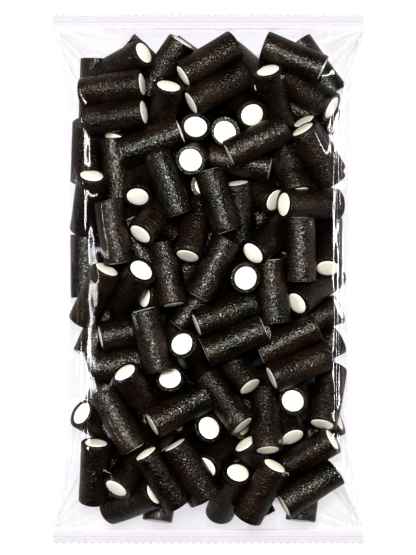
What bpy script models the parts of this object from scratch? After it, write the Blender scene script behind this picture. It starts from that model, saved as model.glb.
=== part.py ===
"""A clear pillow bag of short-cut licorice pencils, lying on its back with its face up.

Each pencil is a soft black licorice tube round a solid cream core, cut square at both ends.
The bag is pinked and crimped at its top and bottom, and narrows where the pencils fill it out.
Origin: bottom centre of the bag. +Z up, +Y to the bag's top seal, +X across its width.
"""
import math

import bmesh
import bpy
import numpy as np

# Bag, sealed and full
BAG_LENGTH = 0.265
SEAL_WIDTH = 0.1555
SEAL_DEPTH = 0.0075
SEAL_THICKNESS = 0.0012
BODY_WIDTH = 0.1405
BODY_HEIGHT = 0.045
SEAM_HEIGHT = 0.019
SEAL_HEIGHT = 0.010
SHOULDER = 0.050
PINCH_LENGTH = 0.030
PINCH_DEPTH = 0.016
FACE_ROUNDING = 2.8
BACK_ROUNDING = 4.0

# Crimps and pinked edge of a seal
TOOTH_PITCH = 0.0036
TOOTH_DEPTH = 0.0013
CRIMP_PLACES = (0.0004, 0.0018, 0.0045, 0.0058)
CRIMP_WIDTH = 0.0007
CRIMP_RISE = 0.0003

# Pencils
PENCIL_DIAMETER = 0.015
PENCIL_LENGTH = 0.031
PENCIL_COUNT = 128
STEEP_EVERY = 8
FLOOR_CLEARANCE = 0.0004
SEED = 21

# Solid heart of the heap, which the pencils that show stand out of
HEART_FACE = 0.38
HEART_FLAT = 1.03
HEART_COLUMNS = 18
HEART_ROWS = 28
PENCIL_SIDES = 12
SHOWN_ABOVE_HEART = 0.0015

POUCH_HALF = BAG_LENGTH / 2 - SEAL_DEPTH
HALF_PENCIL = PENCIL_LENGTH / 2
RADIUS = PENCIL_DIAMETER / 2


def bulge(share, power):
    """Height of a rounded section, 1 in the middle and 0 at its edge."""
    return (1 - np.clip(np.abs(share), 0, 1) ** power) ** (1 / power)


def section(y):
    """Half width, seam height, and the film's rise and drop from its seam, at a place along the bag."""
    along = np.abs(y) / POUCH_HALF
    from_seal = np.clip((POUCH_HALF - np.abs(y)) / SHOULDER, 0, 1)
    half = BODY_WIDTH / 2 + (SEAL_WIDTH - BODY_WIDTH) / 2 * (1 - from_seal) ** 2
    seam = SEAL_HEIGHT + (SEAM_HEIGHT - SEAL_HEIGHT) * bulge(along, 4)
    rise = (BODY_HEIGHT - SEAM_HEIGHT) * bulge(along, 3.5)
    drop = seam * bulge(along, 6)
    return half, seam, rise, drop


def film_share(points):
    """How far out in the room for pencils a point is: 1 at its limit, which narrows towards the seals."""
    seam, rise, drop = section(points[..., 1])[1:]
    z = points[..., 2] - seam
    power = np.where(z > 0, FACE_ROUNDING, BACK_ROUNDING)
    tall = np.maximum(np.where(z > 0, rise, drop), 0.0005)
    pinched = np.clip(1 - (POUCH_HALF - np.abs(points[..., 1])) / PINCH_LENGTH, 0, 1)
    side = np.abs(points[..., 0]) / (BODY_WIDTH / 2 - 0.002 - PINCH_DEPTH * pinched**2)
    return (side**power + np.abs(z / tall) ** power) ** (1 / power)


def past_film(points):
    """How far each point is past the film, and the way out through the film there."""
    step = 0.0001
    value = film_share(points)
    ways = np.eye(3) * step
    slopes = [(film_share(points + way) - film_share(points - way)) / (2 * step) for way in ways]
    slope = np.stack(slopes, axis=-1)
    steep = np.linalg.norm(slope, axis=-1)
    return (value - 1) / steep, slope / steep[..., None]


def rim_points(centres, axes):
    """Twelve points round each cut end of each pencil."""
    lying = np.abs(axes[:, 2:]) < 0.9
    side = np.cross(axes, np.where(lying, [[0.0, 0.0, 1.0]], [[1.0, 0.0, 0.0]]))
    side /= np.linalg.norm(side, axis=1, keepdims=True)
    angle = (np.arange(12) * math.tau / 12)[:, None]
    ring = RADIUS * (side[:, None] * np.cos(angle) + np.cross(axes, side)[:, None] * np.sin(angle))
    ends = np.array([-HALF_PENCIL, HALF_PENCIL])[:, None]
    return (centres[:, None] + axes[:, None] * ends)[:, :, None] + ring[:, None]


def side_contacts(centres, axes, first, second):
    """Pairs of pencils that touch side to side."""
    between = centres[first] - centres[second]
    cosine = (axes[first] * axes[second]).sum(1)
    on_first = (between * axes[first]).sum(1)
    on_second = (between * axes[second]).sum(1)
    crossing = (cosine * on_second - on_first) / np.maximum(1 - cosine**2, 0.02)
    place = np.clip(crossing, -HALF_PENCIL, HALF_PENCIL)
    for _ in range(2):
        other_place = np.clip(cosine * place + on_second, -HALF_PENCIL, HALF_PENCIL)
        place = np.clip(cosine * other_place - on_first, -HALF_PENCIL, HALF_PENCIL)
    near_first = centres[first] + axes[first] * place[:, None]
    near_second = centres[second] + axes[second] * other_place[:, None]
    apart = near_first - near_second
    distance = np.maximum(np.linalg.norm(apart, axis=1), 0.000001)
    way = apart / distance[:, None]
    square = (np.abs((way * axes[first]).sum(1)) < 0.3) & (np.abs((way * axes[second]).sum(1)) < 0.3)
    hit = square & (distance < PENCIL_DIAMETER)
    middle = (near_first + near_second) / 2
    return first[hit], second[hit], middle[hit], way[hit], PENCIL_DIAMETER - distance[hit]


def rim_contacts(rims, centres, axes, of, into):
    """The deepest point of each cut end inside another pencil."""
    points = rims[of] - centres[into][:, None, None]
    along = (points * axes[into][:, None, None]).sum(-1)
    out = points - along[..., None] * axes[into][:, None, None]
    radial = np.maximum(np.linalg.norm(out, axis=-1), 0.000001)
    by_side = RADIUS - radial
    by_end = HALF_PENCIL - np.abs(along)
    depth = np.minimum(by_side, by_end)
    row, end = np.indices(depth.shape[:2])
    deepest = row, end, depth.argmax(-1)
    through_side = (by_side[deepest] < by_end[deepest])[..., None]
    end_way = np.sign(along[deepest])[..., None] * axes[into][:, None]
    way = np.where(through_side, out[deepest] / radial[deepest][..., None], end_way)
    row, end = np.nonzero(depth[deepest] > 0)
    return of[row], into[row], rims[of][deepest][row, end], way[row, end], depth[deepest][row, end]


def scattered():
    """Starting places spread evenly through the bag, most pencils lying and some steep."""
    rng = np.random.default_rng(SEED)
    low, high = (-0.058, -0.112, 0.007), (0.058, 0.112, 0.031)
    centres = rng.uniform(low, high, (PENCIL_COUNT, 3))
    for index in range(1, PENCIL_COUNT):
        choices = rng.uniform(low, high, (12, 3))
        apart = np.linalg.norm((choices[:, None] - centres[:index]) * [1, 1, 1.6], axis=2).min(1)
        centres[index] = choices[apart.argmax()]
    heading = rng.uniform(0, math.tau, PENCIL_COUNT)
    tilt = rng.normal(0, 0.3, PENCIL_COUNT)
    steep = np.arange(PENCIL_COUNT) % STEEP_EVERY == 0
    tilt[steep] = rng.uniform(0.7, 1.3, int(steep.sum()))
    axes = np.stack([np.cos(tilt) * np.cos(heading), np.cos(tilt) * np.sin(heading), np.sin(tilt)], axis=1)
    return centres, axes


def packed_pencils(rounds=600, settling=450, fall=0.00003):
    """Centres and axes of the pencils, eased apart and down inside the film until they lie side by side."""
    centres, axes = scattered()
    turning = (3 * RADIUS**2 + PENCIL_LENGTH**2) / 12
    first, second = np.triu_indices(PENCIL_COUNT, 1)
    reach = 2 * math.hypot(HALF_PENCIL, RADIUS)
    for turn in range(rounds):
        near = np.linalg.norm(centres[first] - centres[second], axis=1) < reach
        pair = first[near], second[near]
        rims = rim_points(centres, axes)
        found = [side_contacts(centres, axes, *pair)]
        found.append(rim_contacts(rims, centres, axes, *pair))
        found.append(rim_contacts(rims, centres, axes, *pair[::-1]))
        one, other, place, way, depth = (np.concatenate(column) for column in zip(*found))
        past, out = past_film(rims)
        row, end = np.indices(past.shape[:2])
        farthest = row, end, past.argmax(-1)
        row, end = np.nonzero(past[farthest] > 0)
        held = rims[farthest][row, end] - centres[row], -out[farthest][row, end]
        held_turn = np.cross(*held)
        held_push = np.minimum(past[farthest][row, end], 0.004) / (1 + (held_turn**2).sum(1) / turning)
        one_turn = np.cross(place - centres[one], way)
        other_turn = np.cross(place - centres[other], way)
        push = depth / (2 + ((one_turn**2).sum(1) + (other_turn**2).sum(1)) / turning)
        shift = np.zeros((PENCIL_COUNT, 3))
        spin = np.zeros((PENCIL_COUNT, 3))
        np.add.at(shift, one, push[:, None] * way)
        np.add.at(shift, other, -push[:, None] * way)
        np.add.at(shift, row, held_push[:, None] * held[1])
        np.add.at(spin, one, push[:, None] * one_turn)
        np.add.at(spin, other, -push[:, None] * other_turn)
        np.add.at(spin, row, held_push[:, None] * held_turn)
        touches = np.bincount(np.concatenate([one, other, row]), minlength=PENCIL_COUNT)
        ease = (1.6 / np.maximum(touches, 1.6))[:, None]
        past_end = np.maximum(np.abs(rims[..., 1]).max((1, 2)) - (POUCH_HALF - 0.003), 0)
        shift[:, 1] -= np.sign(centres[:, 1]) * past_end / 2
        centres = centres + shift * ease
        if turn < settling:
            centres[:, 2] -= fall
        axes = axes + np.cross(spin * ease / turning, axes)
        axes /= np.linalg.norm(axes, axis=1, keepdims=True)
        # Rounded each time, so that tiny differences in arithmetic never grow into another heap
        centres, axes = np.round(centres, 8), np.round(axes, 5)
    lowest = rim_points(centres, axes)[..., 2].min((1, 2))
    centres[:, 2] += np.maximum(FLOOR_CLEARANCE - lowest, 0)
    return centres, axes


def deselected():
    for item in bpy.context.selected_objects:
        item.select_set(False)


def heart_sheet(face):
    """One side of the heart: a grid laid over the section, the face kept below the pencils' tops."""
    deselected()
    bpy.ops.mesh.primitive_grid_add(x_subdivisions=HEART_COLUMNS, y_subdivisions=HEART_ROWS, size=2)
    sheet = bpy.context.object
    points = np.zeros((len(sheet.data.vertices), 3))
    sheet.data.vertices.foreach_get("co", points.ravel())
    across = np.sin(points[:, 0] * math.pi / 2)
    y = np.sin(points[:, 1] * math.pi / 2) * POUCH_HALF
    half, seam, rise, drop = section(y)
    if face:
        z = seam + HEART_FACE * rise * bulge(across, FACE_ROUNDING)
    else:
        z = np.maximum(seam - HEART_FLAT * drop * bulge(across, BACK_ROUNDING), 0)
    placed = np.stack([across * half, y, z], axis=1)
    sheet.data.vertices.foreach_set("co", placed.ravel())
    return sheet


def heart():
    """The solid that stands for the film's outline and everything that lies hidden in the heap."""
    deselected()
    face, back = heart_sheet(True), heart_sheet(False)
    deselected()
    face.select_set(True)
    back.select_set(True)
    bpy.context.view_layer.objects.active = face
    bpy.ops.object.join()
    bpy.ops.object.mode_set(mode="EDIT")
    bpy.ops.mesh.select_all(action="SELECT")
    bpy.ops.mesh.remove_doubles(threshold=0.00005)
    bpy.ops.mesh.dissolve_degenerate(threshold=0.00005)
    bpy.ops.mesh.normals_make_consistent(inside=False)
    bpy.ops.object.mode_set(mode="OBJECT")
    face.name = "licorice_bag"
    return face


def seal_outline(end):
    """A seal's outline in plan: straight where it meets the pouch, pinked along its outer edge."""
    teeth = round(SEAL_WIDTH / TOOTH_PITCH)
    x = np.linspace(SEAL_WIDTH / 2, -SEAL_WIDTH / 2, 2 * teeth + 1)
    y = np.full(len(x), BAG_LENGTH / 2)
    y[0::2] -= TOOTH_DEPTH
    inner = POUCH_HALF - 0.0015
    corners = [(-SEAL_WIDTH / 2, inner), (SEAL_WIDTH / 2, inner)]
    return [(px, py * end) for px, py in list(zip(x, y)) + corners]


def seal(end):
    """One flat seal, its outline filled and extruded to the thickness of the welded film."""
    outline = bpy.data.curves.new("seal", "CURVE")
    outline.dimensions = "2D"
    outline.fill_mode = "BOTH"
    outline.extrude = SEAL_THICKNESS / 2
    points = seal_outline(end)
    spline = outline.splines.new("POLY")
    spline.points.add(len(points) - 1)
    for point, (x, y) in zip(spline.points, points):
        point.co = (x, y, 0, 1)
    spline.use_cyclic_u = True
    drawn = bpy.data.objects.new("seal_outline", outline)
    bpy.context.collection.objects.link(drawn)
    drawn.location.z = SEAL_HEIGHT
    bpy.context.view_layer.update()
    mesh = bpy.data.meshes.new_from_object(drawn.evaluated_get(bpy.context.evaluated_depsgraph_get()))
    mesh.transform(drawn.matrix_world)
    bpy.data.objects.remove(drawn)
    shape = bmesh.new()
    shape.from_mesh(mesh)
    bmesh.ops.remove_doubles(shape, verts=shape.verts, dist=0.00001)
    bmesh.ops.recalc_face_normals(shape, faces=shape.faces)
    shape.to_mesh(mesh)
    shape.free()
    solid = bpy.data.objects.new("seal", mesh)
    bpy.context.collection.objects.link(solid)
    return solid


def crimp(end, inward):
    """One pressed line across a seal, standing out on both faces of it."""
    deselected()
    y = end * (BAG_LENGTH / 2 - SEAL_DEPTH + inward)
    bpy.ops.mesh.primitive_cube_add(size=1, location=(0, y, SEAL_HEIGHT))
    bar = bpy.context.object
    bar.scale = (SEAL_WIDTH - 0.0002, CRIMP_WIDTH, SEAL_THICKNESS + 2 * CRIMP_RISE)
    bpy.ops.object.transform_apply(location=True, rotation=True, scale=True)
    return bar


def pencil(centre, axis):
    """One cut pencil."""
    pitch = math.acos(max(-1.0, min(1.0, axis[2])))
    heading = math.atan2(axis[1], axis[0])
    deselected()
    bpy.ops.mesh.primitive_cylinder_add(vertices=PENCIL_SIDES, radius=RADIUS, depth=PENCIL_LENGTH)
    rod = bpy.context.object
    rod.location = centre
    rod.rotation_euler = (0, pitch, heading)
    bpy.ops.object.transform_apply(location=True, rotation=True, scale=True)
    return rod


def shows(centre, axis):
    """Whether some of a pencil stands clear of the heart's face."""
    rims = rim_points(centre[None], axis[None]).reshape(-1, 3)
    half, seam, rise, drop = section(rims[:, 1])
    face = seam + HEART_FACE * rise * bulge(rims[:, 0] / half, FACE_ROUNDING)
    return bool((rims[:, 2] > face + SHOWN_ABOVE_HEART).any())


def keep_largest_shell(solid):
    """Takes out the closed voids that are left between pencils inside the heap."""
    shape = bmesh.new()
    shape.from_mesh(solid.data)
    unseen = set(shape.verts)
    shells = []
    while unseen:
        shell = []
        edge = [unseen.pop()]
        while edge:
            vertex = edge.pop()
            shell.append(vertex)
            linked = [e.other_vert(vertex) for e in vertex.link_edges]
            fresh = [v for v in linked if v in unseen]
            unseen.difference_update(fresh)
            edge.extend(fresh)
        shells.append(shell)
    shells.sort(key=len)
    for shell in shells[:-1]:
        bmesh.ops.delete(shape, geom=shell, context="VERTS")
    shape.to_mesh(solid.data)
    shape.free()


def main():
    for item in list(bpy.data.objects):
        bpy.data.objects.remove(item)
    bag = bpy.data.collections.new("licorice_pencil_bag")
    additions = bpy.data.collections.new("additions")
    bpy.context.scene.collection.children.link(bag)
    bpy.context.scene.collection.children.link(additions)

    solid = heart()
    added = []
    for end in (-1, 1):
        added.append(seal(end))
        added.extend(crimp(end, inward) for inward in CRIMP_PLACES)
    centres, axes = packed_pencils()
    for centre, axis in zip(centres, axes):
        if shows(centre, axis):
            added.append(pencil(centre, axis))
    for item in added:
        for home in item.users_collection:
            home.objects.unlink(item)
        additions.objects.link(item)
    for home in solid.users_collection:
        home.objects.unlink(solid)
    bag.objects.link(solid)

    union = solid.modifiers.new("union", "BOOLEAN")
    union.operation = "UNION"
    union.operand_type = "COLLECTION"
    union.collection = additions
    union.solver = "EXACT"
    bpy.context.view_layer.update()
    fused = bpy.data.meshes.new_from_object(solid.evaluated_get(bpy.context.evaluated_depsgraph_get()))
    solid.modifiers.clear()
    solid.data = fused
    fused.name = "licorice_bag"
    for item in list(additions.objects):
        bpy.data.objects.remove(item)
    bpy.data.collections.remove(additions)
    keep_largest_shell(solid)

    licorice = bpy.data.materials.new("licorice")
    licorice.use_nodes = True
    surface = licorice.node_tree.nodes["Principled BSDF"]
    surface.inputs["Base Color"].default_value = (0.020, 0.014, 0.011, 1)
    surface.inputs["Roughness"].default_value = 0.45
    solid.data.materials.clear()
    solid.data.materials.append(licorice)


main()
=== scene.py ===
import math

import bmesh
import bpy
import numpy as np
from mathutils import Matrix, Vector, noise
from mathutils.bvhtree import BVHTree


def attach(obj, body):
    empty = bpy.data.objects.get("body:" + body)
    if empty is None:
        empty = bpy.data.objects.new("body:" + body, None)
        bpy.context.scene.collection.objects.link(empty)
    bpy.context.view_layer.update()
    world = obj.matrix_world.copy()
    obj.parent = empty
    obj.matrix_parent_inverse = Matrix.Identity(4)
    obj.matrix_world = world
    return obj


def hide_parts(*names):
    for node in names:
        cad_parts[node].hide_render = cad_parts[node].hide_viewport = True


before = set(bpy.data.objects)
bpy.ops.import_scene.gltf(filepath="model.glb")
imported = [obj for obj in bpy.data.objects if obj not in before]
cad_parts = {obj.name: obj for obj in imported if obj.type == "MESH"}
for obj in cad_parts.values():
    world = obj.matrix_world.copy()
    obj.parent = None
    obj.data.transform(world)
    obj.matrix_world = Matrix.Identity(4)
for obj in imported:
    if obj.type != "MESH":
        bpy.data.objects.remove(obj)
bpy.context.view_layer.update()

# The white sheet the bag lies on.
# A wide matt grey sheet with painted light: it glows though it is no lamp, so it reads white,
# drowns the bag's cast shadow and shows the clear film by its folds alone. The glow stops where
# the heap covers it, a painted shade under the bag, so no light comes up there.
SHEET_GREY_UNDER_GLOW = (0.12, 0.12, 0.12, 1)
SHEET_PAINTED_GLOW = 0.566
HEAP_HALF_WIDTH = 0.060
HEAP_HALF_LENGTH = 0.114
HEAP_SQUARENESS = 8


def deselected():
    for item in bpy.context.selected_objects:
        item.select_set(False)


deselected()
bpy.ops.mesh.primitive_plane_add(size=8, location=(0, 0, -0.0002))
sheet = bpy.context.object
bpy.ops.object.transform_apply(location=True, rotation=True, scale=True)
sheet.name = "white_sheet"
white = bpy.data.materials.new("matt_sheet_with_painted_glow")
white.use_nodes = True
surface = white.node_tree.nodes["Principled BSDF"]
surface.inputs["Base Color"].default_value = SHEET_GREY_UNDER_GLOW
surface.inputs["Roughness"].default_value = 0.9
surface.inputs["Emission Color"].default_value = (1, 1, 1, 1)
place = white.node_tree.nodes.new("ShaderNodeTexCoord")
covered = white.node_tree.nodes.new("ShaderNodeVectorMath")
covered.operation = "DIVIDE"
covered.inputs[1].default_value = (HEAP_HALF_WIDTH, HEAP_HALF_LENGTH, 1)
white.node_tree.links.new(place.outputs["Object"], covered.inputs[0])
inside = white.node_tree.nodes.new("ShaderNodeSeparateXYZ")
white.node_tree.links.new(covered.outputs["Vector"], inside.inputs["Vector"])
powers = []
for axis in ("X", "Y"):
    power = white.node_tree.nodes.new("ShaderNodeMath")
    power.operation = "POWER"
    power.inputs[1].default_value = HEAP_SQUARENESS
    white.node_tree.links.new(inside.outputs[axis], power.inputs[0])
    powers.append(power)
edge = white.node_tree.nodes.new("ShaderNodeMath")
edge.operation = "ADD"
white.node_tree.links.new(powers[0].outputs["Value"], edge.inputs[0])
white.node_tree.links.new(powers[1].outputs["Value"], edge.inputs[1])
# Painted light and shade: the sheet glows outside a rounded box round the heap and not inside it.
painted_glow = white.node_tree.nodes.new("ShaderNodeMapRange")
painted_glow.inputs["From Min"].default_value = 0.5
painted_glow.inputs["From Max"].default_value = 1.0
painted_glow.inputs["To Max"].default_value = SHEET_PAINTED_GLOW
white.node_tree.links.new(edge.outputs["Value"], painted_glow.inputs["Value"])
white.node_tree.links.new(painted_glow.outputs["Result"], surface.inputs["Emission Strength"])
sheet.data.materials.append(white)

# The studio.
# A broad soft light beyond the bag's top, and a tall strip at each side, which draws the
# white streaks down the film. The ceiling stays dark so that the licorice keeps its depth.
CEILING = (0.006, 0.006, 0.007)
WALLS = (0.045, 0.045, 0.049)
studio = bpy.data.worlds.new("studio")
studio.use_nodes = True
bpy.context.scene.world = studio
nodes = studio.node_tree.nodes
links = studio.node_tree.links


def colour_ramp(nodes, *stops):
    """A ramp of colours; each stop is a place along it, from 0 to 1, and its colour."""
    ramp = nodes.new("ShaderNodeValToRGB")
    elements = ramp.color_ramp.elements
    for element, (position, colour) in zip(elements, (stops[0], stops[-1])):
        element.position = position
        element.color = (*colour, 1)
    for position, colour in stops[1:-1]:
        elements.new(position).color = (*colour, 1)
    return ramp


direction = nodes.new("ShaderNodeTexCoord")
parts = nodes.new("ShaderNodeSeparateXYZ")
links.new(direction.outputs["Generated"], parts.inputs["Vector"])
height = colour_ramp(nodes, (0.05, WALLS), (0.55, CEILING))
links.new(parts.outputs["Z"], height.inputs["Fac"])
links.new(height.outputs["Color"], nodes["Background"].inputs["Color"])
nodes["Background"].inputs["Strength"].default_value = 1.0


def softbox(name, place, size, power):
    """A soft rectangular light that faces the bag; its size is across the bag, then along it."""
    lamp = bpy.data.lights.new(name, "AREA")
    lamp.shape = "RECTANGLE"
    lamp.size, lamp.size_y = size
    lamp.energy = power
    holder = bpy.data.objects.new(name, lamp)
    bpy.context.scene.collection.objects.link(holder)
    holder.location = place
    way = (Vector((0, 0, 0.02)) - Vector(place)).normalized()
    side = Vector((0, 1, 0)).cross(-way)
    if side.length < 0.3:
        side = Vector((1, 0, 0))
    side.normalize()
    up = (-way).cross(side)
    holder.rotation_euler = Matrix((side, up, -way)).transposed().to_euler()


softbox("overhead", (-0.06, 0.26, 1.50), (0.54, 0.40), 24)
softbox("left_strip", (-0.95, 0.02, 0.86), (0.12, 0.75), 2.7)
softbox("right_strip", (1.12, 0.0, 0.52), (0.12, 0.75), 2.7)

# The camera, straight above the bag with a long lens.
PHOTO_WIDTH = 416
PHOTO_HEIGHT = 555
METRES_PER_PIXEL = 0.0005
BAG_MIDDLE_PX = (208.4, 279.2)
CAMERA_HEIGHT = 1.25
SEAL_LEVEL = 0.010
lens = bpy.data.cameras.new("above")
lens.sensor_fit = "VERTICAL"
lens.sensor_height = 24
lens.lens = 24 * (CAMERA_HEIGHT - SEAL_LEVEL) / (PHOTO_HEIGHT * METRES_PER_PIXEL)
lens.clip_start = 0.01
camera = bpy.data.objects.new("above", lens)
camera.location = (
    (PHOTO_WIDTH / 2 - BAG_MIDDLE_PX[0]) * METRES_PER_PIXEL,
    (BAG_MIDDLE_PX[1] - PHOTO_HEIGHT / 2) * METRES_PER_PIXEL,
    CAMERA_HEIGHT,
)
bpy.context.scene.collection.objects.link(camera)
bpy.context.scene.camera = camera
bpy.context.scene.view_settings.view_transform = "Standard"
bpy.context.scene.view_settings.look = "High Contrast"
bpy.context.scene.view_settings.gamma = 0.84

# How the pencils lie in the bag.
# The bag is a tube of clear film, pinched flat at both ends, that swells where it is full.
# The pencils are poured in loose: each lies where its neighbours and the film stop it.
BAG_LENGTH = 0.265
SEAL_WIDTH = 0.1555
SEAL_DEPTH = 0.0075
BODY_WIDTH = 0.1405
BODY_HEIGHT = 0.045
SEAM_HEIGHT = 0.019
SEAL_HEIGHT = 0.010
SHOULDER = 0.050
PINCH_LENGTH = 0.030
PINCH_DEPTH = 0.016
FACE_ROUNDING = 2.8
BACK_ROUNDING = 4.0

PENCIL_DIAMETER = 0.015
PENCIL_LENGTH = 0.031
PENCIL_COUNT = 128
STEEP_EVERY = 8
FLOOR_CLEARANCE = 0.0004
SEED = 21

POUCH_HALF = BAG_LENGTH / 2 - SEAL_DEPTH
HALF_PENCIL = PENCIL_LENGTH / 2
RADIUS = PENCIL_DIAMETER / 2


def bulge(share, power):
    """Height of a rounded section, 1 in the middle and 0 at its edge."""
    return (1 - np.clip(np.abs(share), 0, 1) ** power) ** (1 / power)


def section(y):
    """Half width, seam height, and the film's rise and drop from its seam, at a place along the bag."""
    along = np.abs(y) / POUCH_HALF
    from_seal = np.clip((POUCH_HALF - np.abs(y)) / SHOULDER, 0, 1)
    half = BODY_WIDTH / 2 + (SEAL_WIDTH - BODY_WIDTH) / 2 * (1 - from_seal) ** 2
    seam = SEAL_HEIGHT + (SEAM_HEIGHT - SEAL_HEIGHT) * bulge(along, 4)
    rise = (BODY_HEIGHT - SEAM_HEIGHT) * bulge(along, 3.5)
    drop = seam * bulge(along, 6)
    return half, seam, rise, drop


def film_share(points):
    """How far out in the pencils' room a point is: 1 at its limit, which narrows to the seals."""
    seam, rise, drop = section(points[..., 1])[1:]
    z = points[..., 2] - seam
    power = np.where(z > 0, FACE_ROUNDING, BACK_ROUNDING)
    tall = np.maximum(np.where(z > 0, rise, drop), 0.0005)
    pinched = np.clip(1 - (POUCH_HALF - np.abs(points[..., 1])) / PINCH_LENGTH, 0, 1)
    side = np.abs(points[..., 0]) / (BODY_WIDTH / 2 - 0.002 - PINCH_DEPTH * pinched**2)
    return (side**power + np.abs(z / tall) ** power) ** (1 / power)


def past_film(points):
    """How far each point is past the film, and the way out through the film there."""
    step = 0.0001
    value = film_share(points)
    ways = np.eye(3) * step
    slopes = [(film_share(points + way) - film_share(points - way)) / (2 * step) for way in ways]
    slope = np.stack(slopes, axis=-1)
    steep = np.linalg.norm(slope, axis=-1)
    return (value - 1) / steep, slope / steep[..., None]


def rim_points(centres, axes):
    """Twelve points round each cut end of each pencil."""
    lying = np.abs(axes[:, 2:]) < 0.9
    side = np.cross(axes, np.where(lying, [[0.0, 0.0, 1.0]], [[1.0, 0.0, 0.0]]))
    side /= np.linalg.norm(side, axis=1, keepdims=True)
    angle = (np.arange(12) * math.tau / 12)[:, None]
    ring = RADIUS * (side[:, None] * np.cos(angle) + np.cross(axes, side)[:, None] * np.sin(angle))
    ends = np.array([-HALF_PENCIL, HALF_PENCIL])[:, None]
    return (centres[:, None] + axes[:, None] * ends)[:, :, None] + ring[:, None]


def side_contacts(centres, axes, first, second):
    """Pairs of pencils that touch side to side."""
    between = centres[first] - centres[second]
    cosine = (axes[first] * axes[second]).sum(1)
    on_first = (between * axes[first]).sum(1)
    on_second = (between * axes[second]).sum(1)
    crossing = (cosine * on_second - on_first) / np.maximum(1 - cosine**2, 0.02)
    place = np.clip(crossing, -HALF_PENCIL, HALF_PENCIL)
    for _ in range(2):
        other_place = np.clip(cosine * place + on_second, -HALF_PENCIL, HALF_PENCIL)
        place = np.clip(cosine * other_place - on_first, -HALF_PENCIL, HALF_PENCIL)
    near_first = centres[first] + axes[first] * place[:, None]
    near_second = centres[second] + axes[second] * other_place[:, None]
    apart = near_first - near_second
    distance = np.maximum(np.linalg.norm(apart, axis=1), 0.000001)
    way = apart / distance[:, None]
    square = (np.abs((way * axes[first]).sum(1)) < 0.3) & (np.abs((way * axes[second]).sum(1)) < 0.3)
    hit = square & (distance < PENCIL_DIAMETER)
    middle = (near_first + near_second) / 2
    return first[hit], second[hit], middle[hit], way[hit], PENCIL_DIAMETER - distance[hit]


def rim_contacts(rims, centres, axes, of, into):
    """The deepest point of each cut end inside another pencil."""
    points = rims[of] - centres[into][:, None, None]
    along = (points * axes[into][:, None, None]).sum(-1)
    out = points - along[..., None] * axes[into][:, None, None]
    radial = np.maximum(np.linalg.norm(out, axis=-1), 0.000001)
    by_side = RADIUS - radial
    by_end = HALF_PENCIL - np.abs(along)
    depth = np.minimum(by_side, by_end)
    row, end = np.indices(depth.shape[:2])
    deepest = row, end, depth.argmax(-1)
    through_side = (by_side[deepest] < by_end[deepest])[..., None]
    end_way = np.sign(along[deepest])[..., None] * axes[into][:, None]
    way = np.where(through_side, out[deepest] / radial[deepest][..., None], end_way)
    row, end = np.nonzero(depth[deepest] > 0)
    return of[row], into[row], rims[of][deepest][row, end], way[row, end], depth[deepest][row, end]


def scattered():
    """Starting places spread evenly through the bag, most pencils lying and some steep."""
    rng = np.random.default_rng(SEED)
    low, high = (-0.058, -0.112, 0.007), (0.058, 0.112, 0.031)
    centres = rng.uniform(low, high, (PENCIL_COUNT, 3))
    for index in range(1, PENCIL_COUNT):
        choices = rng.uniform(low, high, (12, 3))
        apart = np.linalg.norm((choices[:, None] - centres[:index]) * [1, 1, 1.6], axis=2).min(1)
        centres[index] = choices[apart.argmax()]
    heading = rng.uniform(0, math.tau, PENCIL_COUNT)
    tilt = rng.normal(0, 0.3, PENCIL_COUNT)
    steep = np.arange(PENCIL_COUNT) % STEEP_EVERY == 0
    tilt[steep] = rng.uniform(0.7, 1.3, int(steep.sum()))
    level = np.cos(tilt)
    axes = np.stack([level * np.cos(heading), level * np.sin(heading), np.sin(tilt)], axis=1)
    return centres, axes


def packed_pencils(rounds=600, settling=450, fall=0.00003):
    """Centres and axes of the pencils, eased apart and down in the film till they lie side by side."""
    centres, axes = scattered()
    turning = (3 * RADIUS**2 + PENCIL_LENGTH**2) / 12
    first, second = np.triu_indices(PENCIL_COUNT, 1)
    reach = 2 * math.hypot(HALF_PENCIL, RADIUS)
    for turn in range(rounds):
        near = np.linalg.norm(centres[first] - centres[second], axis=1) < reach
        pair = first[near], second[near]
        rims = rim_points(centres, axes)
        found = [side_contacts(centres, axes, *pair)]
        found.append(rim_contacts(rims, centres, axes, *pair))
        found.append(rim_contacts(rims, centres, axes, *pair[::-1]))
        one, other, place, way, depth = (np.concatenate(column) for column in zip(*found))
        past, out = past_film(rims)
        row, end = np.indices(past.shape[:2])
        farthest = row, end, past.argmax(-1)
        row, end = np.nonzero(past[farthest] > 0)
        held = rims[farthest][row, end] - centres[row], -out[farthest][row, end]
        held_turn = np.cross(*held)
        held_push = np.minimum(past[farthest][row, end], 0.004) / (1 + (held_turn**2).sum(1) / turning)
        one_turn = np.cross(place - centres[one], way)
        other_turn = np.cross(place - centres[other], way)
        push = depth / (2 + ((one_turn**2).sum(1) + (other_turn**2).sum(1)) / turning)
        shift = np.zeros((PENCIL_COUNT, 3))
        spin = np.zeros((PENCIL_COUNT, 3))
        np.add.at(shift, one, push[:, None] * way)
        np.add.at(shift, other, -push[:, None] * way)
        np.add.at(shift, row, held_push[:, None] * held[1])
        np.add.at(spin, one, push[:, None] * one_turn)
        np.add.at(spin, other, -push[:, None] * other_turn)
        np.add.at(spin, row, held_push[:, None] * held_turn)
        touches = np.bincount(np.concatenate([one, other, row]), minlength=PENCIL_COUNT)
        ease = (1.6 / np.maximum(touches, 1.6))[:, None]
        past_end = np.maximum(np.abs(rims[..., 1]).max((1, 2)) - (POUCH_HALF - 0.003), 0)
        shift[:, 1] -= np.sign(centres[:, 1]) * past_end / 2
        centres = centres + shift * ease
        if turn < settling:
            centres[:, 2] -= fall
        axes = axes + np.cross(spin * ease / turning, axes)
        axes /= np.linalg.norm(axes, axis=1, keepdims=True)
        # Rounded each time, so that tiny differences in arithmetic never grow into another heap
        centres, axes = np.round(centres, 8), np.round(axes, 5)
    lowest = rim_points(centres, axes)[..., 2].min((1, 2))
    centres[:, 2] += np.maximum(FLOOR_CLEARANCE - lowest, 0)
    return centres, axes


centres, axes = packed_pencils()

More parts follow.
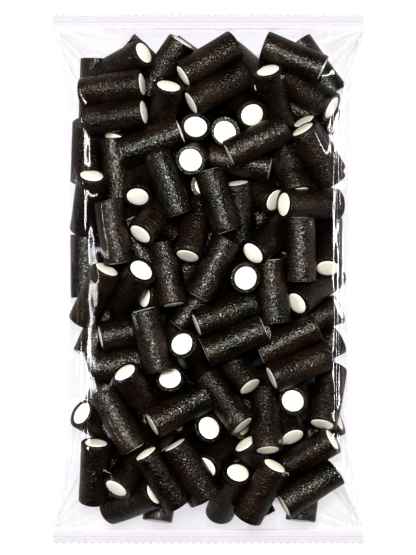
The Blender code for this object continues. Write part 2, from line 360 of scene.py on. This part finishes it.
# The licorice tubes.
# Extruded black licorice, soft and a little leathery, squeezed out hollow and cut to length,
# with paler, duller cut ends. Each is slightly bent, flattened and twisted from lying under
# the others.
CORE_DIAMETER = 0.0113
TUBE_SIDES = 30
TUBE_CUTS = 10
RIM_ROUNDING = 0.00035
HOLE_DIAMETER = CORE_DIAMETER - 0.0001


def select_faces(made, wanted):
    """Selects the faces that are wanted, and no others, in edit mode."""
    bpy.ops.mesh.select_mode(type="FACE")
    bpy.ops.mesh.select_all(action="DESELECT")
    edit = bmesh.from_edit_mesh(made.data)
    for face in edit.faces:
        if wanted(face):
            face.select_set(True)
    bmesh.update_edit_mesh(made.data)


def select_edges(made, wanted):
    """Selects the edges that are wanted, and no others, in edit mode."""
    bpy.ops.mesh.select_mode(type="EDGE")
    bpy.ops.mesh.select_all(action="DESELECT")
    edit = bmesh.from_edit_mesh(made.data)
    for edge in edit.edges:
        if wanted(edge):
            edge.select_set(True)
    bmesh.update_edit_mesh(made.data)


def is_outside(edge):
    """Whether an edge lies on the tube's outer face."""
    return all(math.hypot(*vertex.co.xy) > RADIUS * 0.95 for vertex in edge.verts)


def length_up(edge):
    """How far an edge runs along the tube."""
    return abs(edge.verts[0].co.z - edge.verts[1].co.z)


deselected()
bpy.ops.mesh.primitive_cylinder_add(vertices=TUBE_SIDES, radius=RADIUS, depth=PENCIL_LENGTH)
pattern = bpy.context.object
bpy.ops.object.mode_set(mode="EDIT")
select_faces(pattern, lambda face: abs(face.normal.z) > 0.9)
bpy.ops.mesh.inset(thickness=RADIUS - HOLE_DIAMETER / 2)
select_faces(pattern, lambda face: len(face.verts) == TUBE_SIDES)
bpy.ops.mesh.delete(type="ONLY_FACE")
select_edges(pattern, lambda edge: edge.is_boundary)
bpy.ops.mesh.bridge_edge_loops()
select_edges(pattern, lambda edge: is_outside(edge) and length_up(edge) < 0.0001)
bpy.ops.mesh.bevel(offset=RIM_ROUNDING, segments=3)
select_edges(pattern, lambda edge: is_outside(edge) and length_up(edge) > PENCIL_LENGTH / 2)
bpy.ops.mesh.subdivide(number_cuts=TUBE_CUTS)
edit = bmesh.from_edit_mesh(pattern.data)
for face in edit.faces:
    middle = face.calc_center_median()
    face.material_index = int(abs(middle.z) > HALF_PENCIL - 0.8 * RIM_ROUNDING)
bmesh.update_edit_mesh(pattern.data)
bpy.ops.mesh.select_all(action="SELECT")
bpy.ops.mesh.normals_make_consistent(inside=False)
bpy.ops.object.mode_set(mode="OBJECT")


def upright_to(axis):
    """The turn that lays a pencil's own length along an axis."""
    return np.array(Vector((0, 0, 1)).rotation_difference(Vector(axis)).to_matrix())


def lived_in(points, index):
    """One pencil's points, bent, flattened and bored off centre a little, as no two are the same."""
    rng = np.random.default_rng(SEED * 1000 + index)
    along = points[:, 2] / HALF_PENCIL
    around = np.arctan2(points[:, 1], points[:, 0])
    out = np.hypot(points[:, 0], points[:, 1]) / RADIUS
    turn = rng.uniform(0, math.tau)
    flat = rng.uniform(0.0, 0.045)
    swell = 1 + flat * np.cos(2 * (around - turn)) + rng.uniform(-0.012, 0.012) * along
    swell += rng.uniform(0.004, 0.017) * np.cos(3 * around + rng.uniform(0, 6) + 1.5 * along)
    twist = rng.uniform(0.002, 0.010)
    swell += twist * np.cos(2 * around + rng.uniform(0, 6) + rng.uniform(3, 6) * along)
    bend = rng.uniform(0, 0.0005) * (along**2 - 0.35)
    way = rng.uniform(0, math.tau)
    slant = rng.uniform(0, 0.00045)
    tilt = rng.uniform(0, math.tau)
    off_centre = rng.uniform(0, 0.0006)
    lean = rng.uniform(0, math.tau)
    bore = out < 0.8
    made = points.copy()
    made[:, 0] = points[:, 0] * swell + bend * math.cos(way)
    made[:, 1] = points[:, 1] * swell + bend * math.sin(way)
    made[:, 2] += slant * np.cos(around - tilt) * out * np.sign(along)
    made[bore, 0] += off_centre * math.cos(lean)
    made[bore, 1] += off_centre * math.sin(lean)
    return made


def copied_into_heap(pattern, name):
    """A copy of the pattern for each pencil, laid in its place, all joined as one piece."""
    points = np.zeros((len(pattern.data.vertices), 3))
    pattern.data.vertices.foreach_get("co", points.ravel())
    deselected()
    for index, (centre, axis) in enumerate(zip(centres, axes)):
        placed = lived_in(points, index) @ upright_to(axis).T + centre
        copy = bpy.data.objects.new(name, pattern.data.copy())
        copy.data.vertices.foreach_set("co", placed.ravel())
        bpy.context.scene.collection.objects.link(copy)
        copy.select_set(True)
        bpy.context.view_layer.objects.active = copy
    bpy.ops.object.join()
    heap = bpy.context.object
    heap.name = name
    bpy.data.objects.remove(pattern)
    bpy.ops.object.shade_smooth_by_angle(angle=math.radians(38))
    return heap


licorice = bpy.data.materials.new("black_licorice")
licorice.use_nodes = True
nodes = licorice.node_tree.nodes
links = licorice.node_tree.links
surface = nodes["Principled BSDF"]
spot = nodes.new("ShaderNodeTexCoord")
tone = nodes.new("ShaderNodeTexNoise")
tone.inputs["Scale"].default_value = 70
tone.inputs["Detail"].default_value = 3
links.new(spot.outputs["Object"], tone.inputs["Vector"])
shade = colour_ramp(nodes, (0.35, (0.0048, 0.0022, 0.0011)), (0.7, (0.0440, 0.0225, 0.0122)))
links.new(tone.outputs["Fac"], shade.inputs["Fac"])
links.new(shade.outputs["Color"], surface.inputs["Base Color"])
grain = nodes.new("ShaderNodeTexNoise")
grain.inputs["Scale"].default_value = 900
grain.inputs["Detail"].default_value = 1.2
grain.inputs["Roughness"].default_value = 0.5
grain.inputs["Distortion"].default_value = 1.3
links.new(spot.outputs["Object"], grain.inputs["Vector"])
curl = nodes.new("ShaderNodeTexNoise")
curl.inputs["Scale"].default_value = 420
curl.inputs["Detail"].default_value = 1
links.new(spot.outputs["Object"], curl.inputs["Vector"])
curled = nodes.new("ShaderNodeVectorMath")
curled.operation = "MULTIPLY_ADD"
curled.inputs[1].default_value = (0.0022, 0.0022, 0.0022)
links.new(curl.outputs["Color"], curled.inputs[0])
links.new(spot.outputs["Object"], curled.inputs[2])
wrinkle = nodes.new("ShaderNodeTexVoronoi")
wrinkle.feature = "F1"
wrinkle.inputs["Scale"].default_value = 760
links.new(curled.outputs["Vector"], wrinkle.inputs["Vector"])
relief = nodes.new("ShaderNodeMath")
relief.operation = "MULTIPLY_ADD"
relief.inputs[1].default_value = -0.55
links.new(wrinkle.outputs["Distance"], relief.inputs[0])
links.new(grain.outputs["Fac"], relief.inputs[2])
bump = nodes.new("ShaderNodeBump")
bump.inputs["Strength"].default_value = 1.0
bump.inputs["Distance"].default_value = 0.00035
links.new(relief.outputs["Value"], bump.inputs["Height"])
links.new(bump.outputs["Normal"], surface.inputs["Normal"])
gloss = nodes.new("ShaderNodeMapRange")
gloss.inputs["From Min"].default_value = 0.3
gloss.inputs["From Max"].default_value = 0.7
gloss.inputs["To Min"].default_value = 0.20
gloss.inputs["To Max"].default_value = 0.38
links.new(grain.outputs["Fac"], gloss.inputs["Value"])
links.new(gloss.outputs["Result"], surface.inputs["Roughness"])
surface.inputs["IOR"].default_value = 1.66
surface.inputs["Specular Tint"].default_value = (0.94, 1.0, 0.91, 1)
cut = licorice.copy()
cut.name = "cut_licorice"
nodes = cut.node_tree.nodes
nodes["Color Ramp"].color_ramp.elements[0].color = (0.010, 0.008, 0.006, 1)
nodes["Color Ramp"].color_ramp.elements[1].color = (0.045, 0.038, 0.030, 1)
nodes["Map Range"].inputs["To Min"].default_value = 0.20
nodes["Map Range"].inputs["To Max"].default_value = 0.40
pattern.data.materials.append(licorice)
pattern.data.materials.append(cut)

tubes = copied_into_heap(pattern, "licorice_tubes")
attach(tubes, "root")
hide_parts("licorice_bag")

# The cream cores.
# Dense ivory fondant, run into the tube as it is made. The knife drags it, so it bulges
# about half a millimetre past the licorice at each cut, in a soft uneven dome.
CREAM_BULGE = 0.00055
CREAM_SHORT = 0.00015
CORE_SIDES = 28
DOME_STEPS = ((0.00035, 0.45), (0.0014, 0.85), (0.0022, 1.0))

deselected()
bpy.ops.mesh.primitive_cylinder_add(
    vertices=CORE_SIDES, radius=CORE_DIAMETER / 2, depth=PENCIL_LENGTH - 2 * CREAM_SHORT
)
pattern = bpy.context.object
bpy.ops.object.mode_set(mode="EDIT")
for thickness, rise in DOME_STEPS:
    select_faces(pattern, lambda face: len(face.verts) == CORE_SIDES)
    bpy.ops.mesh.inset(thickness=thickness)
    edit = bmesh.from_edit_mesh(pattern.data)
    for vertex in edit.verts:
        if vertex.select:
            vertex.co.z = math.copysign(HALF_PENCIL - CREAM_SHORT + CREAM_BULGE * rise, vertex.co.z)
    bmesh.update_edit_mesh(pattern.data)
bpy.ops.object.mode_set(mode="OBJECT")
cores = copied_into_heap(pattern, "cream_cores")

cream = bpy.data.materials.new("ivory_cream")
cream.use_nodes = True
nodes = cream.node_tree.nodes
links = cream.node_tree.links
surface = nodes["Principled BSDF"]
spot = nodes.new("ShaderNodeTexCoord")
tone = nodes.new("ShaderNodeTexNoise")
tone.inputs["Scale"].default_value = 210
tone.inputs["Detail"].default_value = 3
links.new(spot.outputs["Object"], tone.inputs["Vector"])
shade = colour_ramp(nodes, (0.3, (0.92, 0.875, 0.72)), (0.62, (0.965, 0.945, 0.86)))
links.new(tone.outputs["Fac"], shade.inputs["Fac"])
links.new(shade.outputs["Color"], surface.inputs["Base Color"])
smear = nodes.new("ShaderNodeTexNoise")
smear.inputs["Scale"].default_value = 900
smear.inputs["Detail"].default_value = 3
links.new(spot.outputs["Object"], smear.inputs["Vector"])
bump = nodes.new("ShaderNodeBump")
bump.inputs["Strength"].default_value = 0.5
bump.inputs["Distance"].default_value = 0.00012
links.new(smear.outputs["Fac"], bump.inputs["Height"])
links.new(bump.outputs["Normal"], surface.inputs["Normal"])
surface.inputs["Roughness"].default_value = 0.5
cores.data.materials.clear()
cores.data.materials.append(cream)
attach(cores, "root")
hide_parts("licorice_bag")

# The film.
# One web of clear packing film, wrapped into a tube round the pencils. It clings to the highest
# of them, spans the hollows, stands off and shines at the sides, and is gathered into sharp
# folds where it is drawn flat into the corners of the seals. Along these folds the film's clear
# colour is darkened into fine grey lines of painted shade.
FILM_CELLS_ROUND = 320
FILM_CELLS_ALONG = 236
FILM_CLEARANCE = 0.0002
FILM_HANG = 0.0065
BACK_HANG = 0.0006
FILM_PULL = 0.000012
FILM_ROUNDS = 1600
TAUT_FROM = 0.58
TAUT_OVER = 0.12
CRUMPLE_RISE = 0.00022
SIDE_FOLD_RISE = 0.00055
SEAL_FOLD_RISE = 0.00045
CORNER_FOLD_RISE = 0.0017
FOLD_SHARPNESS = 9
FOLD_PAINTED_SHADE = 0.085
REST_HEIGHT = 0.00005


def film_base(around, along):
    """The pouch of film before it meets the pencils: around and along both run from -1 to 1."""
    y = POUCH_HALF * (0.72 * along + 0.28 * np.sin(along * math.pi / 2))
    half, seam, rise, drop = section(y)
    end = np.abs(y) / POUCH_HALF
    across = np.sin(around * math.pi)
    up = seam + (BODY_HEIGHT - SEAM_HEIGHT) * bulge(end, 2.0) * bulge(across, FACE_ROUNDING)
    down = seam - seam * bulge(end, 3.0) * bulge(across, BACK_ROUNDING)
    z = np.where(np.abs(around) <= 0.5, up, down)
    return np.stack([half * across, y, z], axis=-1)


def gathered(points, around):
    """Height of the film's own creases, away from any pencil, and how much painted shade lies along its
    sharp folds.
    """
    half = section(points[..., 1])[0]
    heights = np.zeros(points.shape[:2])
    folds = np.zeros(points.shape[:2])
    side = np.clip((np.abs(points[..., 0]) / half - 0.80) / 0.15, 0, 1)
    from_end = POUCH_HALF - np.abs(points[..., 1])
    for row, column in np.ndindex(heights.shape):
        x, y, z = points[row, column]
        inward = from_end[row, column]
        loose = noise.noise((x * 60, y * 60, z * 60))
        crumple = 1 - 2 * abs(noise.noise((x * 150 + 7, y * 95, z * 150)))
        upright = 1 - 2 * abs(noise.noise((around[row, column] * 70, y * 17 + 3, 5.5)))
        gather = 1 - 2 * abs(noise.noise((x * 190, inward * 14, np.sign(y) * 9)))
        corner_x = SEAL_WIDTH / 2 - abs(x)
        angle = math.atan2(inward + 0.0005, corner_x + 0.0005)
        reach = math.hypot(corner_x, inward)
        ray = 1 - 2 * abs(noise.noise((angle * 4.5, reach * 6, np.sign(x) * 3 + np.sign(y) * 7)))
        height = CRUMPLE_RISE * crumple * (0.6 + 0.8 * loose) * min(inward / 0.03, 1)
        height += SIDE_FOLD_RISE * upright * side[row, column]
        height += SEAL_FOLD_RISE * gather * math.exp(-inward / 0.012)
        faded = min(reach / 0.02, 1) * math.exp(-max(reach - 0.013, 0) / 0.013)
        heights[row, column] = height + CORNER_FOLD_RISE * ray * faded
        fold = max(ray, 0) ** FOLD_SHARPNESS * math.exp(-max(reach - 0.026, 0) / 0.010)
        fold += 0.3 * max(gather, 0) ** FOLD_SHARPNESS * math.exp(-inward / 0.009)
        fold += 0.5 * max(upright, 0) ** FOLD_SHARPNESS * side[row, column]
        folds[row, column] = min(fold, 1)
    return heights, folds


deselected()
bpy.ops.mesh.primitive_grid_add(x_subdivisions=FILM_CELLS_ROUND, y_subdivisions=FILM_CELLS_ALONG, size=2)
film = bpy.context.object
film.name = "film"
flat = np.zeros((len(film.data.vertices), 3))
film.data.vertices.foreach_get("co", flat.ravel())
grid = flat.reshape(FILM_CELLS_ALONG + 1, FILM_CELLS_ROUND + 1, 3)
around, along = grid[..., 0], grid[..., 1]
base = film_base(around, along)
small = 0.0005
round_way = film_base(around + small, along) - film_base(around - small, along)
short = np.clip(along, -0.998, 0.998)
along_way = film_base(around, short + small) - film_base(around, short - small)
outward = np.cross(round_way, along_way)
outward /= np.maximum(np.linalg.norm(outward, axis=-1, keepdims=True), 1e-12)
outward[0] = (0, -1, 0)
outward[-1] = (0, 1, 0)
depsgraph = bpy.context.evaluated_depsgraph_get()
heap_tree = BVHTree.FromObject(tubes, depsgraph)
core_tree = BVHTree.FromObject(cores, depsgraph)
FELT_FROM = 0.016
FELT_TO = 0.03
support = np.full(around.shape, -FELT_TO)
for row, column in np.ndindex(support.shape):
    begin = Vector(base[row, column] + FELT_FROM * outward[row, column])
    way = Vector(-outward[row, column])
    for tree in (heap_tree, core_tree):
        distance = tree.ray_cast(begin, way, FELT_FROM + FELT_TO)[3]
        if distance is not None:
            support[row, column] = max(support[row, column], FELT_FROM - distance)


def rolled(values, rows, columns):
    """The grid of values moved by some cells: closed round the bag, held at its ends."""
    moved = np.roll(values[:, :-1], columns, axis=1)
    moved = np.concatenate([moved, moved[:, :1]], axis=1)
    if rows > 0:
        moved = np.concatenate([moved[:1], moved[:-1]])
    if rows < 0:
        moved = np.concatenate([moved[1:], moved[-1:]])
    return moved


def evened(values):
    """The mean of each cell's four neighbours."""
    lengthways = rolled(values, 1, 0) + rolled(values, -1, 0)
    return 0.25 * (lengthways + rolled(values, 0, 1) + rolled(values, 0, -1))


held = support.copy()
for rows in (-1, 0, 1):
    for columns in (-1, 0, 1):
        held = np.maximum(held, rolled(support, rows, columns))
for _ in range(3):
    held = 0.5 * held + 0.5 * evened(held)
held = np.maximum(held, support) + FILM_CLEARANCE
half = section(base[..., 1])[0]
taut = np.clip((np.abs(base[..., 0]) / half - TAUT_FROM) / TAUT_OVER, 0, 1)
lowest = -FILM_HANG * (1 - taut)
back = np.abs(around) > 0.5
lowest = np.where(back, np.maximum(lowest, -BACK_HANG), lowest)
limit = np.maximum(held, lowest)
limit[0] = limit[-1] = 0
stand = limit.copy()
for _ in range(FILM_ROUNDS):
    stand = np.maximum(evened(stand) - FILM_PULL, limit)
    stand[0] = stand[-1] = 0
crease, folds = gathered(base, around)
creased = np.maximum(stand + crease, limit)
creased[0] = creased[-1] = 0
creased = np.maximum(0.6 * creased + 0.4 * evened(creased), limit)
creased[0] = creased[-1] = 0
placed = base + outward * creased[..., None]
placed[..., 2] = np.maximum(placed[..., 2], REST_HEIGHT)
placed[0, :, 2] = placed[-1, :, 2] = SEAL_HEIGHT
film.data.vertices.foreach_set("co", placed.reshape(-1, 3).ravel())
film.data.attributes.new("fold", "FLOAT", "POINT").data.foreach_set("value", folds.ravel())
bpy.ops.object.mode_set(mode="EDIT")
bpy.ops.mesh.select_all(action="SELECT")
bpy.ops.mesh.remove_doubles(threshold=0.00001)
bpy.ops.mesh.dissolve_degenerate(threshold=0.000005)
bpy.ops.mesh.normals_make_consistent(inside=False)
bpy.ops.object.mode_set(mode="OBJECT")
bpy.ops.object.shade_smooth()

clear = bpy.data.materials.new("clear_film")
clear.use_nodes = True
nodes = clear.node_tree.nodes
links = clear.node_tree.links
nodes.remove(nodes["Principled BSDF"])
slope = nodes.new("ShaderNodeLayerWeight")
slope.inputs["Blend"].default_value = 0.5
through = colour_ramp(
    nodes,
    (0.0, (0.988, 0.981, 0.990)),
    (0.10, (0.982, 0.974, 0.986)),
    (0.35, (0.968, 0.959, 0.973)),
    (0.75, (0.90, 0.888, 0.912)),
    (1.0, (0.60, 0.59, 0.62)),
)
links.new(slope.outputs["Facing"], through.inputs["Fac"])
# Painted shade: the film's clear colour is darkened along its sharp folds, drawing them as fine grey
# lines.
folded = nodes.new("ShaderNodeAttribute")
folded.attribute_name = "fold"
painted_fold_shade = nodes.new("ShaderNodeMath")
painted_fold_shade.operation = "MULTIPLY_ADD"
painted_fold_shade.inputs[1].default_value = -FOLD_PAINTED_SHADE
painted_fold_shade.inputs[2].default_value = 1
links.new(folded.outputs["Fac"], painted_fold_shade.inputs[0])
passed = nodes.new("ShaderNodeVectorMath")
passed.operation = "SCALE"
links.new(through.outputs["Color"], passed.inputs[0])
links.new(painted_fold_shade.outputs["Value"], passed.inputs["Scale"])
see = nodes.new("ShaderNodeBsdfTransparent")
links.new(passed.outputs["Vector"], see.inputs["Color"])
mirrored = colour_ramp(
    nodes,
    (0.03, (0, 0, 0)),
    (0.06, (0.01, 0.00985, 0.0102)),
    (0.10, (0.08, 0.0788, 0.0816)),
    (0.22, (0.10, 0.0985, 0.102)),
    (0.32, (0.065, 0.064025, 0.0663)),
    (0.60, (0.09, 0.08865, 0.0918)),
    (1.0, (0.72, 0.71, 0.74)),
)
links.new(slope.outputs["Facing"], mirrored.inputs["Fac"])
shine = nodes.new("ShaderNodeBsdfGlossy")
shine.inputs["Roughness"].default_value = 0.11
spot = nodes.new("ShaderNodeTexCoord")
place = nodes.new("ShaderNodeSeparateXYZ")
links.new(spot.outputs["Object"], place.inputs["Vector"])
sideways = nodes.new("ShaderNodeMath")
sideways.operation = "ABSOLUTE"
links.new(place.outputs["X"], sideways.inputs[0])
loose = nodes.new("ShaderNodeMapRange")
loose.interpolation_type = "SMOOTHSTEP"
loose.inputs["From Min"].default_value = 0.046
loose.inputs["From Max"].default_value = 0.060
loose.inputs["To Min"].default_value = 0.25
loose.inputs["To Max"].default_value = 1.0
links.new(sideways.outputs["Value"], loose.inputs["Value"])
dulled = nodes.new("ShaderNodeVectorMath")
dulled.operation = "SCALE"
links.new(mirrored.outputs["Color"], dulled.inputs[0])
links.new(loose.outputs["Result"], dulled.inputs["Scale"])
links.new(dulled.outputs["Vector"], shine.inputs["Color"])
both = nodes.new("ShaderNodeAddShader")
links.new(see.outputs["BSDF"], both.inputs[0])
links.new(shine.outputs["BSDF"], both.inputs[1])
links.new(both.outputs["Shader"], nodes["Material Output"].inputs["Surface"])
film.data.materials.clear()
film.data.materials.append(clear)
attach(film, "root")
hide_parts("licorice_bag")

# The two seals.
# The ends of the film tube, welded flat by hot ribbed jaws and cut off with a pinking knife,
# so each has fine raised lines across it and a row of small teeth along its outer edge.
TOOTH_PITCH = 0.0036
TOOTH_DEPTH = 0.0011
CRIMP_PLACES = (0.0004, 0.0018, 0.0045, 0.0058)
CRIMP_RISE = 0.00028
CRIMP_WIDTH = 0.00028
SEAL_LAP = 0.0006
SEAL_WAVE = 0.0006
SEAL_FILM = 0.0003

welded = clear.copy()
welded.name = "welded_film"
nodes = welded.node_tree.nodes
links = welded.node_tree.links
spot = nodes.new("ShaderNodeTexCoord")
place = nodes.new("ShaderNodeSeparateXYZ")
links.new(spot.outputs["Object"], place.inputs["Vector"])
outward = nodes.new("ShaderNodeMath")
outward.operation = "ABSOLUTE"
links.new(place.outputs["Y"], outward.inputs[0])
milky = nodes.new("ShaderNodeMapRange")
milky.inputs["From Min"].default_value = BAG_LENGTH / 2 - SEAL_DEPTH
milky.inputs["From Max"].default_value = BAG_LENGTH / 2
links.new(outward.outputs["Value"], milky.inputs["Value"])
ribs = (
    (0.10, 0.978), (0.16, 0.985), (0.27, 0.950), (0.34, 0.980), (0.44, 0.962),
    (0.50, 0.918), (0.57, 0.968), (0.66, 0.935), (0.73, 0.948),
)
tint = colour_ramp(
    nodes,
    (0.0, (0.995, 0.988, 0.998)),
    *((position, (passes, passes - 0.010, passes + 0.006)) for position, passes in ribs),
    (1.0, (0.936, 0.922, 0.940)),
)
links.new(milky.outputs["Result"], tint.inputs["Fac"])
links.new(tint.outputs["Color"], nodes["Transparent BSDF"].inputs["Color"])

teeth = round(SEAL_WIDTH / TOOTH_PITCH)
for end, name in ((1, "top_seal"), (-1, "bottom_seal")):
    deselected()
    bpy.ops.mesh.primitive_grid_add(x_subdivisions=teeth * 4, y_subdivisions=48, size=2)
    seal = bpy.context.object
    seal.name = name
    points = np.zeros((len(seal.data.vertices), 3))
    seal.data.vertices.foreach_get("co", points.ravel())
    inward = (1 - points[:, 1]) / 2
    tooth = np.abs(((points[:, 0] + 1) / 2 * teeth) % 1 - 0.5) * 2
    y = BAG_LENGTH / 2 - inward * (SEAL_DEPTH + SEAL_LAP)
    y -= TOOTH_DEPTH * tooth * np.clip(1 - inward / 0.25, 0, 1)
    from_inner = y - POUCH_HALF
    z = np.zeros(len(y))
    for place in CRIMP_PLACES:
        z += CRIMP_RISE * np.exp(-((from_inner - place) / CRIMP_WIDTH) ** 2)
    x = points[:, 0] * SEAL_WIDTH / 2
    slow = np.array([noise.noise((across * 30, end * 5, 2)) for across in x])
    quick = np.array([noise.noise((across * 110, end * 5, 8)) for across in x])
    z += SEAL_WAVE * (slow + 0.4 * quick) * np.clip(from_inner / SEAL_DEPTH, 0, 1)
    seal.data.vertices.foreach_set("co", np.stack([x, y * end, z + SEAL_HEIGHT], axis=1).ravel())
    thick = seal.modifiers.new("thickness", "SOLIDIFY")
    thick.thickness = SEAL_FILM
    thick.offset = 0
    bpy.ops.object.modifier_apply(modifier="thickness")
    bpy.ops.object.mode_set(mode="EDIT")
    bpy.ops.mesh.select_all(action="SELECT")
    bpy.ops.mesh.normals_make_consistent(inside=False)
    bpy.ops.object.mode_set(mode="OBJECT")
    bpy.ops.object.shade_smooth_by_angle(angle=math.radians(40))
    seal.data.materials.append(welded)
    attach(seal, "root")
    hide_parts("licorice_bag")
